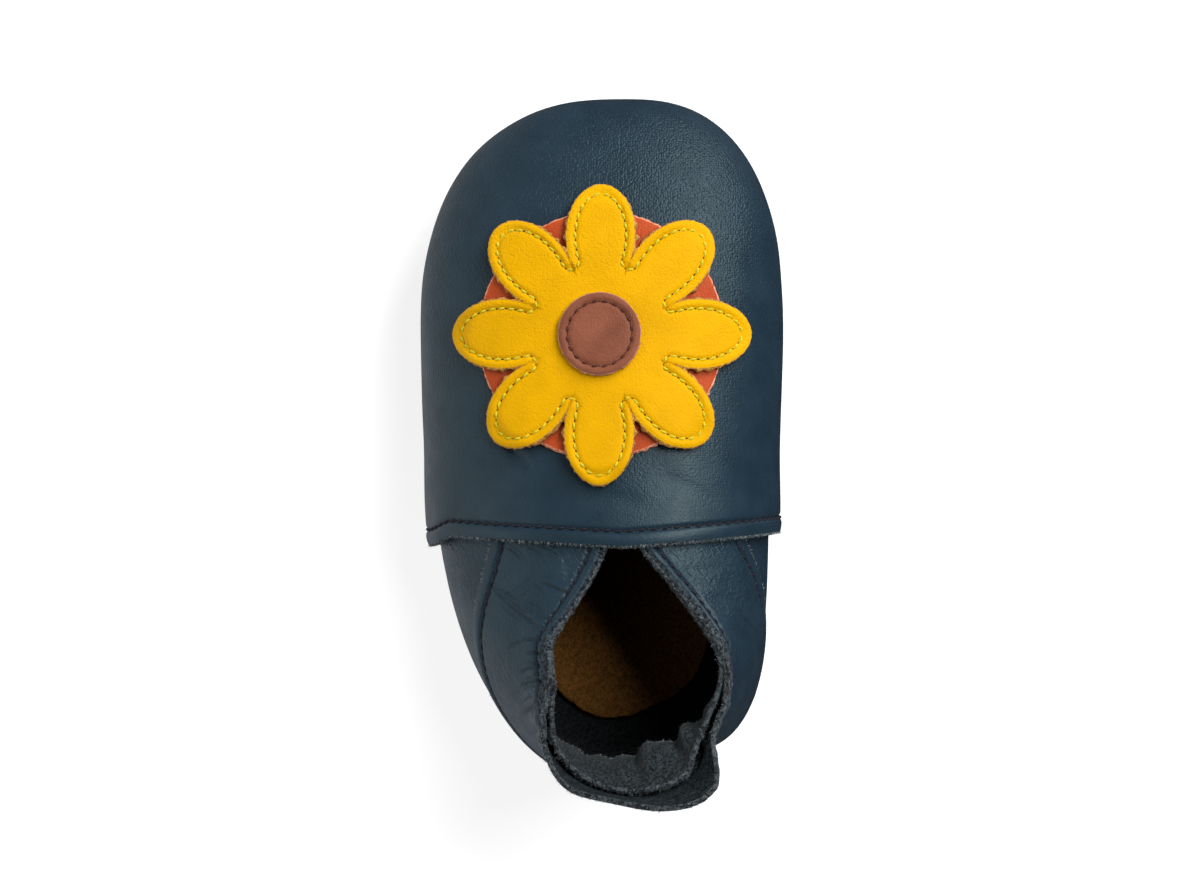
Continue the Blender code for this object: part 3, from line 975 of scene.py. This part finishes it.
def painted_crease_shade(table, point):
    """Painted shade in the bottoms of fine troughs here."""
    rows = crease_shares(table, point)
    fine = (max(-height, 0.0) * share for width, height, share in rows if width < FINE_CREASE)
    return sum(fine) / DARK_DEPTH


def seam_relief(distance, inset):
    """Groove under a stitch row and the puffed strip between it and the cut edge."""
    groove = -GROOVE_DEPTH * bell(distance - inset, GROOVE_WIDTH)
    if 0.0 < distance < inset:
        return groove + PUFF * sin(pi * distance / inset)
    return groove


# Painted shade along the groove under a stitch row.
def painted_seam_shade(distance, inset):
    return SEAM_SHADE * bell(distance - inset, SEAM_SHADE_WIDTH)


@functools.cache
def hem_corner(side, v):
    return vamp_place(side, v)


def from_hem(u, v, point):
    """Distance from the vamp's rear edge."""
    return (point - hem_corner(float(round(u)), v)).length


# Painted shade along the hem's stitch groove.
def vamp_shade(u, v, point):
    return painted_seam_shade(from_hem(u, v, point), HEM_INSET)


def pucker(u, row=0.0):
    """Small waves of the leather along the floor seam."""
    return PUCKER * sin(tau * u * PUCKERS) * waver(u * PUCKER_CHANGE, row)


def vamp_relief(u, v, point):
    lift = slack(point) + creases(VAMP_CREASES, point) + seam_relief(from_hem(u, v, point), HEM_INSET)
    return lift + pucker(u) * (1.0 - ease(v, 0.0, VAMP_TUCK))


def quarter_relief(u, v, point):
    return slack(point) + pucker(u, QUARTER_ROW) * (1.0 - ease(v, 0.0, QUARTER_PUCKER_TOP))


@functools.cache
def inset_level(degrees, edge_level, inset):
    """Level on the ankle band this far above an edge, or below it where inset is negative."""
    step = copysign(WALK_STEP, inset)
    level, gone = edge_level, 0.0
    last = wall(degrees, level, BAND_STEP)
    while gone < abs(inset):
        level += step
        point = wall(degrees, level, BAND_STEP)
        gone += (point - last).length
        last = point
    return level


def foot_line(degrees):
    """Level of the stitches along the band's lower edge."""
    return inset_level(degrees, wall_value("seam", degrees), BAND_INSET)


def collar_line(degrees):
    return inset_level(degrees, 1.0, -COLLAR_INSET)


def gather_wave(degrees, pitch):
    """Puckers that the elastic draws in, below 0 in a trough and above 0 on a ridge."""
    phase = degrees / pitch + GATHER_SHIFT * waver(degrees / GATHER_CHANGE, pitch)
    return abs(sin(pi * phase)) ** GATHER_ROUND - GATHER_MEAN


def gather_share(degrees):
    """How strongly the elastic draws the leather in around the heel."""
    return hump(degrees, GATHER_RISE, GATHER_FALL)


def from_collar_edge(u, v):
    """Distance down the ankle band from its collar edge, negative on the tab."""
    degrees = heel_degrees(u)
    return (1.0 - band_level(degrees, v)) * COLLAR_INSET / (1.0 - collar_line(degrees))


def collar_is_raw(u, v):
    """Whether the leather's face is worn to its fibres here, along the collar but not on the tab."""
    degrees = heel_degrees(u)
    ragged = 1.0 + RAW_RAG * waver(u * RAW_CHANGE[0], v * RAW_CHANGE[1])
    width = mix(*RAW_WIDTHS, hump(degrees, RAW_RISE, RAW_FALL)) * ragged
    return -RAW_ABOVE < from_collar_edge(u, v) < width * (1.0 - ease(tab_share(degrees), 0.0, RAW_TAB))


def from_band_foot(u, v):
    """Distance up the ankle band from its lower edge."""
    degrees = heel_degrees(u)
    foot = wall_value("seam", degrees)
    return (band_level(degrees, v) - foot) * BAND_INSET / (foot_line(degrees) - foot)


# Painted shade along the band's stitch grooves and in its fine creases.
def band_shade(u, v, point):
    seams = painted_seam_shade(from_band_foot(u, v), BAND_INSET) + painted_seam_shade(from_collar_edge(u, v), COLLAR_INSET)
    return min(seams + painted_crease_shade(BAND_CREASES, point), 1.0)


def band_relief(u, v, point):
    degrees = heel_degrees(u)
    from_collar = from_collar_edge(u, v)
    lift = slack(point) + creases(BAND_CREASES, point)
    if collar_is_raw(u, v):
        lift += RAW_FUZZ * noise.noise(point / RAG_SIZE) - RAW_STEP
    lift += seam_relief(from_band_foot(u, v), BAND_INSET) + seam_relief(from_collar, COLLAR_INSET)
    below = max(0.0, from_collar - COLLAR_INSET)
    drawn = sum(depth * gather_wave(degrees, pitch) * bell(below, reach) for depth, pitch, reach in GATHERS)
    return lift + gather_share(degrees) * drawn * ease(from_collar, -COLLAR_INSET, COLLAR_INSET)


def casing_relief(u, v, point):
    """The elastic draws the strip into folds, and past one pleat its lower edge hangs inwards."""
    degrees = heel_degrees(u)
    phase = pi * degrees / CASING_PITCH + CASING_SHIFT * waver(degrees / CASING_CHANGE, CASING_ROW)
    lift = -CASING_GATHER * gather_share(degrees) * sin(phase) ** 2
    lift -= CASING_HANG * hump(degrees, HANG_RISE, HANG_FALL)
    for centre, width, depth in CASING_PLEATS:
        lift -= depth * MM * bell(degrees - centre, width)
    lip = mix(*CASING_LIP, hump(degrees, CASING_OPEN, CASING_SHUT)) * ease(v, CASING_LIP_FROM, 1.0)
    return lift * mix(1.0, CASING_SEWN, ease(v, CASING_SEWN_FROM, 1.0)) + lip


def insole_relief(u, v, point):
    return BED_WAVE * noise.noise(point / BED_WAVE_SIZE)


def sole_relief(u, v, point):
    return 0.0


def petal_spot(u, v=1.0):
    """Plan place on the petals, from the flower's middle."""
    return petal_radius(360.0 * u) * v * heading(tau * u)


PETAL_EDGE = [petal_spot(i / PETAL_STEPS) for i in range(PETAL_STEPS)]


def from_petal_edge(u, v):
    """Distance from a place on the petals to their cut edge."""
    spot = petal_spot(u, v)
    near = int(u * PETAL_STEPS)
    reach = PETAL_STEPS // (2 * PETALS)
    return min((spot - PETAL_EDGE[(near + k) % PETAL_STEPS]).length for k in range(-reach, reach + 1))


def petal_relief(u, v, point):
    return slack(point) + seam_relief(from_petal_edge(u, v), PETAL_INSET)


def centre_relief(u, v, point):
    return slack(point) + seam_relief(CENTRE_RADIUS * (1.0 - v), CENTRE_INSET)


def disc_relief(u, v, point):
    return slack(point)


# Seams.
def sew(name, path, pitch, size, materials):
    """Row of stitches of this thread size along a path of points and normals, with a near-black lens of
    painted shade at each needle hole between.
    """
    lengths = [0.0]
    for (a, _), (b, _) in zip(path, path[1:]):
        lengths.append(lengths[-1] + (b - a).length)

    def walk(distance):
        i = min(max(bisect.bisect_right(lengths, distance) - 1, 0), len(path) - 2)
        share = (distance - lengths[i]) / max(lengths[i + 1] - lengths[i], WELD)
        (a, low), (b, high) = path[i], path[i + 1]
        return mix(a, b, share), mix(low, high, share).normalized(), (b - a).normalized()

    count = round(lengths[-1] / pitch)
    step = lengths[-1] / count
    points, faces, looks = [], [], []
    for k in range(count):
        add_stitch(points, faces, looks, walk, k * step, step, size)
        add_hole_shade(points, faces, looks, walk, k * step, size * HOLE_SHARE)
    mesh = bpy.data.meshes.new(name)
    mesh.from_pydata(points, [], faces)
    mesh.polygons.foreach_set("material_index", looks)
    mesh.shade_smooth()
    settle(new_piece(name, mesh, materials), None)


def stitch_ring(middle, a, b):
    angles = [tau * j / STITCH_SIDES for j in range(STITCH_SIDES)]
    return [middle + cos(angle) * a + sin(angle) * b for angle in angles]


def add_stitch(points, faces, looks, walk, start, step, size):
    """One stitch: a bowed thread whose ends go down into the leather."""
    first = len(points)
    for i in range(STITCH_RINGS):
        share = i / (STITCH_RINGS - 1)
        place, normal, tangent = walk(start + step * mix(STITCH_GAP, 1.0 - STITCH_GAP, share))
        side = normal.cross(tangent)
        arch = sin(pi * mix(*STITCH_ARCH, share))
        lift = normal * (STITCH_RISE * arch - STITCH_SINK)
        middle = place + size * (lift + side * STITCH_SLANT * (share - 0.5))
        radius = size / 2.0 * arch ** STITCH_BLUNT
        points.extend(stitch_ring(middle, radius * side, radius * normal))
    for i in range(STITCH_RINGS - 1):
        for j in range(STITCH_SIDES):
            a = first + i * STITCH_SIDES + j
            b = first + i * STITCH_SIDES + (j + 1) % STITCH_SIDES
            faces.append((a, b, b + STITCH_SIDES, a + STITCH_SIDES))
            looks.append(0)
    last = first + (STITCH_RINGS - 1) * STITCH_SIDES
    faces.append(tuple(first + j for j in reversed(range(STITCH_SIDES))))
    faces.append(tuple(last + j for j in range(STITCH_SIDES)))
    looks.extend((0, 0))


def add_hole_shade(points, faces, looks, walk, distance, size):
    """Needle hole: a small lens in the face of the leather, coloured near black as painted shade of the hole.
    """
    place, normal, tangent = walk(distance)
    side = normal.cross(tangent)
    first = len(points)
    points.append(place + normal * size * HOLE_CROWN)
    points.append(place - normal * size)
    points.extend(stitch_ring(place, size * side, size * tangent))
    for j in range(STITCH_SIDES):
        a = first + 2 + j
        b = first + 2 + (j + 1) % STITCH_SIDES
        faces.append((first, b, a))
        faces.append((first + 1, a, b))
        looks.extend((1, 1))


def fuzz(name, rim, longest, per_place, material, seed):
    """Loose fibres along a cut edge, each a slender closed spike."""
    dice = random.Random(seed)
    points, faces = [], []
    for place, out, normal, _ in rim:
        along_edge = normal.cross(out)
        for _ in range(per_place):
            root = place + along_edge * dice.uniform(*ROOT_ALONG) + normal * dice.uniform(*ROOT_THROUGH)
            lean = out + normal * dice.uniform(*LEAN_THROUGH) + along_edge * dice.uniform(*LEAN_ALONG)
            tip = root + lean.normalized() * longest * dice.uniform(SHORTEST, 1.0)
            first = len(points)
            points.extend((root + along_edge * FIBRE, root - along_edge * FIBRE, root + normal * FIBRE, tip))
            faces.extend(tuple(first + k for k in face) for face in SPIKE_FACES)
    mesh = bpy.data.meshes.new(name)
    mesh.from_pydata(points, [], faces)
    settle(new_piece(name, mesh, (material,)), None)


def build_upper(looks):
    """Vamp, quarter, ankle band and casing, with their seams and loose fibres."""
    navy, soft, strip = looks["navy leather"], looks["soft navy leather"], looks["navy casing suede"]
    flesh, cut = looks["navy flesh side"], looks["navy cut edge"]
    vamp = Surface(vamp_place, vamp_relief, shade=vamp_shade)
    us, vs = spread(260, crowd=0.75), spread(130)
    hem = lay_sheet("vamp", "upper", us, vs, vamp, LEATHER, (navy, flesh, cut),
                    flare=0.4 * MM)
    quarter = Surface(quarter_place, quarter_relief)
    us, vs = spread(220), spread(40)
    lay_sheet("quarter", "upper", us, vs, quarter, LEATHER, (soft, flesh, cut))
    band = Surface(band_place, band_relief, shade=band_shade)
    us, vs = in_runs(BAND_COLUMNS), spread(90, crowd=0.35)
    materials = (soft, looks["navy tab lining"], cut, looks["navy worn edge"])
    collar = lay_sheet("ankle_band", "upper", us, vs, band, LEATHER, materials,
                       edge=0.4 * MM, flare=0.2 * MM, raw=collar_is_raw)
    casing = Surface(casing_place, casing_relief)
    us, vs = spread(360), spread(24)
    lining = lay_sheet("casing", "collar_casing", us, vs, casing, CASING, (strip, strip, cut),
                       edge=0.8 * MM)
    sew_upper(vamp, band, looks)
    hem = [row for row in hem if is_end(row[3].x) and row[3].y > VAMP_TUCK / 2.0]
    collar = [row for row in collar if is_end(row[3].y)]
    lining = [row for row in lining if is_end(row[3].y)]
    rows = (("hem", hem, 1.0 * MM, 18), ("band", collar, 1.1 * MM, 12), ("casing", lining, 1.2 * MM, 16))
    for seed, (name, rim, longest, per_place) in enumerate(rows, start=1):
        fuzz(name + "_fibres", rim, longest, per_place, looks["loose fibre"], seed)


def is_end(share):
    """Whether a share is that of a sheet's first or last row."""
    return min(share, 1.0 - share) < WELD


def sew_upper(vamp, band, looks):
    """Stitch rows along the vamp's rear edge, the band's lower edge and the collar."""
    pair = (looks["navy thread"], looks["needle hole shade"])
    share = VAMP_SIDE * HEM_INSET / (TOE_CAP_Y - HEM_Y)
    climb = [i / HEM_STEPS for i in range(HEM_FIRST, HEM_STEPS + 1)]
    path = [vamp.at(share, v) for v in climb] + [vamp.at(1.0 - share, v) for v in reversed(climb[:-1])]
    sew("hem_stitches", path, SEAM_PITCH, NAVY_THREAD, pair)

    def on_band(degrees, level):
        foot, top = band_level(degrees, 0.0), band_level(degrees, 1.0)
        return band.at((degrees - 180.0) / 180.0, (level - foot) / (top - foot))

    turns = [mix(*COLLAR_SEAM, i / COLLAR_STEPS) for i in range(COLLAR_STEPS + 1)]
    for name, line in (("band_stitches", foot_line), ("collar_stitches", collar_line)):
        sew(name, [on_band(d, line(d)) for d in turns], SEAM_PITCH, NAVY_THREAD, pair)


def build_bottom(looks):
    tan, taupe, flesh = looks["tan leather"], looks["taupe suede"], looks["navy flesh side"]
    bed = Surface(insole_place, insole_relief, flip=True)
    us, vs = spread(360), spread(30)
    lay_sheet("foot_bed", "insole", us, vs, bed, INSOLE, (tan, tan, tan), edge=0.5 * MM)
    sole = Surface(sole_place, sole_relief)
    us, vs = spread(240), spread(40)
    lay_sheet("sole", "outsole", us, vs, sole, SOLE, (taupe, flesh, flesh))


def petal_seam(petals):
    """Path inside the petals' cut edge."""
    path = []
    for i in range(PETAL_STEPS + 1):
        u = i / PETAL_STEPS
        low, high = PETAL_SEAM_FROM, 1.0
        while high - low > SHARE_STEP:
            middle = (low + high) / 2.0
            low, high = (middle, high) if from_petal_edge(u, middle) > PETAL_INSET else (low, middle)
        path.append(petals.at(u, low))
    return path


def build_flower(looks):
    """Disc, petals and centre as name, colour, form, steps around and across, and flare, with their seams."""
    petals = Surface(petal_place, petal_relief, flip=True)
    centre = Surface(centre_place, centre_relief, flip=True)
    layers = (
        ("disc", "orange", Surface(disc_place, disc_relief, flip=True), 240, 30, 0.5 * MM),
        ("petals", "yellow", petals, 560, 60, 0.6 * MM),
        ("centre", "brown", centre, 140, 24, 0.4 * MM),
    )
    rims = {}
    for name, colour, surface, around, across, flare in layers:
        face, cut = looks[colour + " leather"], looks[colour + " cut edge"]
        rims[name] = lay_sheet("flower_" + name, "applique_" + name, spread(around),
                               spread(across), surface, APPLIQUE, (face, face, cut), APPLIQUE_EDGE, flare)
    pair = (looks["yellow-green thread"], looks["stitch hole shade in yellow"])
    sew("petal_stitches", petal_seam(petals), FLOWER_PITCH, FLOWER_THREAD, pair)
    inset = 1.0 - CENTRE_INSET / CENTRE_RADIUS
    circle = [centre.at(i / CENTRE_STEPS, inset) for i in range(CENTRE_STEPS + 1)]
    pair = (looks["brown thread"], looks["needle hole shade"])
    sew("centre_stitches", circle, FLOWER_PITCH, FLOWER_THREAD, pair)
    cut = looks["yellow cut edge"]
    fuzz("petal_fibres", rims["petals"], longest=0.35 * MM, per_place=3,
         material=cut, seed=4)


def make_looks():
    """Every material by its name, each with its darkest and lightest colour."""
    navy = (0.0062, 0.0168, 0.0288)
    fine = {"nap": 0.30 * MM, "tips": NAVY_TIPS}
    matt = {"roughness": 0.55, "tint": PLAIN}
    materials = (
        leather("navy leather", navy, (0.0090, 0.0219, 0.0365)),
        leather("soft navy leather", navy, (0.0095, 0.0228, 0.0375), wrinkle=0.75, depth=0.14 * MM),
        leather("orange leather", (0.35, 0.049, 0.011), (0.42, 0.066, 0.016), gloss=0.10, **matt),
        leather("yellow leather", (0.56, 0.287, 0.0002), (0.63, 0.323, 0.0003),
                gloss=0.04, wrinkle=0.2, **matt),
        leather("brown leather", (0.15, 0.048, 0.025), (0.22, 0.073, 0.039), gloss=0.12, **matt),
        suede("navy flesh side", (0.003, 0.004, 0.005), (0.015, 0.019, 0.021), tips=NAVY_TIPS),
        suede("navy casing suede", (0.0012, 0.0021, 0.0027), (0.030, 0.042, 0.047), **fine),
        suede("navy tab lining", (0.0008, 0.0013, 0.0018), (0.032, 0.045, 0.051), sheen=0.0, **fine),
        suede("navy cut edge", (0.005, 0.007, 0.009), (0.075, 0.092, 0.102), tips=NAVY_TIPS),
        suede("navy worn edge", (0.004, 0.006, 0.008), (0.050, 0.066, 0.080), tips=NAVY_TIPS),
        suede("tan leather", (0.082, 0.034, 0.0062), (0.220, 0.096, 0.0222),
              nap=0.32 * MM, depth=0.12 * MM, sheen=0.0),
        suede("taupe suede", (0.13, 0.09, 0.062), (0.22, 0.165, 0.12)),
        suede("orange cut edge", (0.45, 0.10, 0.04), (0.72, 0.32, 0.20)),
        suede("yellow cut edge", (0.20, 0.080, 0.010), (0.52, 0.26, 0.05)),
        suede("brown cut edge", (0.26, 0.11, 0.06), (0.46, 0.22, 0.14)),
        suede("loose fibre", (0.045, 0.060, 0.070), (0.20, 0.235, 0.25)),
        thread("navy thread", (0.006, 0.006, 0.010), (0.018, 0.016, 0.026)),
        thread("yellow-green thread", (0.40, 0.35, 0.010), (0.58, 0.52, 0.03)),
        thread("brown thread", (0.05, 0.012, 0.008), (0.10, 0.026, 0.016)),
        # Needle holes are lenses coloured near black: painted shade of the holes.
        thread("needle hole shade", (0.004, 0.004, 0.005), (0.008, 0.008, 0.010)),
        thread("stitch hole shade in yellow", (0.03, 0.012, 0.002), (0.06, 0.026, 0.004)),
    )
    return {material.name: material for material in materials}


def build_floor():
    bpy.ops.mesh.primitive_plane_add(size=6.0)
    floor = bpy.context.object
    floor.name = "floor"
    tree = new_material("floor", roughness=0.9)
    tree.set("Base Color", tree.blend(tree.noise(0.4), rgba((0.41, 0.41, 0.41)), rgba((0.43, 0.43, 0.43))))
    tree.set("Emission Color", rgba(PLAIN))
    tree.set("Emission Strength", FLOOR_GLOW)
    floor.data.materials.append(tree.owner)
    floor.visible_glossy = False


def add_light(name, place, size, power):
    """Square softbox that faces the shoe."""
    data = bpy.data.lights.new(name, "AREA")
    data.size = size
    data.energy = power
    lamp = add_object(name, data)
    lamp.location = place
    lamp.rotation_euler = (CAMERA_AIM - Vector(place)).to_track_quat("-Z", "Y").to_euler()


def light_scene():
    """Sky of a few soft lobes, and the softboxes."""
    world = bpy.data.worlds.new("studio")
    sky = Tree(world, "Background")
    sky.set("Color", rgba(PLAIN))
    strength = SKY_LEAST
    for direction, start, brightness in SKY_LOBES:
        slope = sky.vector("DOT_PRODUCT", {0: sky.coordinates["Generated"], 1: direction}, "Value")
        inputs = {"Value": slope, "From Min": start, "To Max": brightness}
        lobe = sky.add("MapRange", inputs, interpolation_type="SMOOTHSTEP").outputs["Result"]
        strength = sky.math("ADD", strength, lobe)
    sky.set("Strength", strength)
    bpy.context.scene.world = world
    bpy.context.scene.view_settings.view_transform = "Standard"
    for row in SOFTBOXES:
        add_light(*row)


def add_camera():
    """Camera in the photo's direction, with the toe up in the picture."""
    data = bpy.data.cameras.new("camera")
    data.sensor_width = SENSOR
    forward = (CAMERA_AIM - CAMERA_AT).normalized()
    distance = (CAMERA_AIM - CAMERA_AT).length
    data.lens = PIXELS_PER_MM / MM * distance * SENSOR / IMAGE_WIDTH
    data.clip_start = 0.01
    right = forward.cross(Vector((0.0, 1.0, 0.0))).normalized()
    up = right.cross(forward)
    camera = add_object("camera", data)
    camera.matrix_world = Matrix.LocRotScale(CAMERA_AT, Matrix((right, up, -forward)).transposed(), None)
    bpy.context.scene.camera = camera


add_camera()
light_scene()
build_floor()
LOOKS = make_looks()
build_upper(LOOKS)
build_bottom(LOOKS)
build_flower(LOOKS)
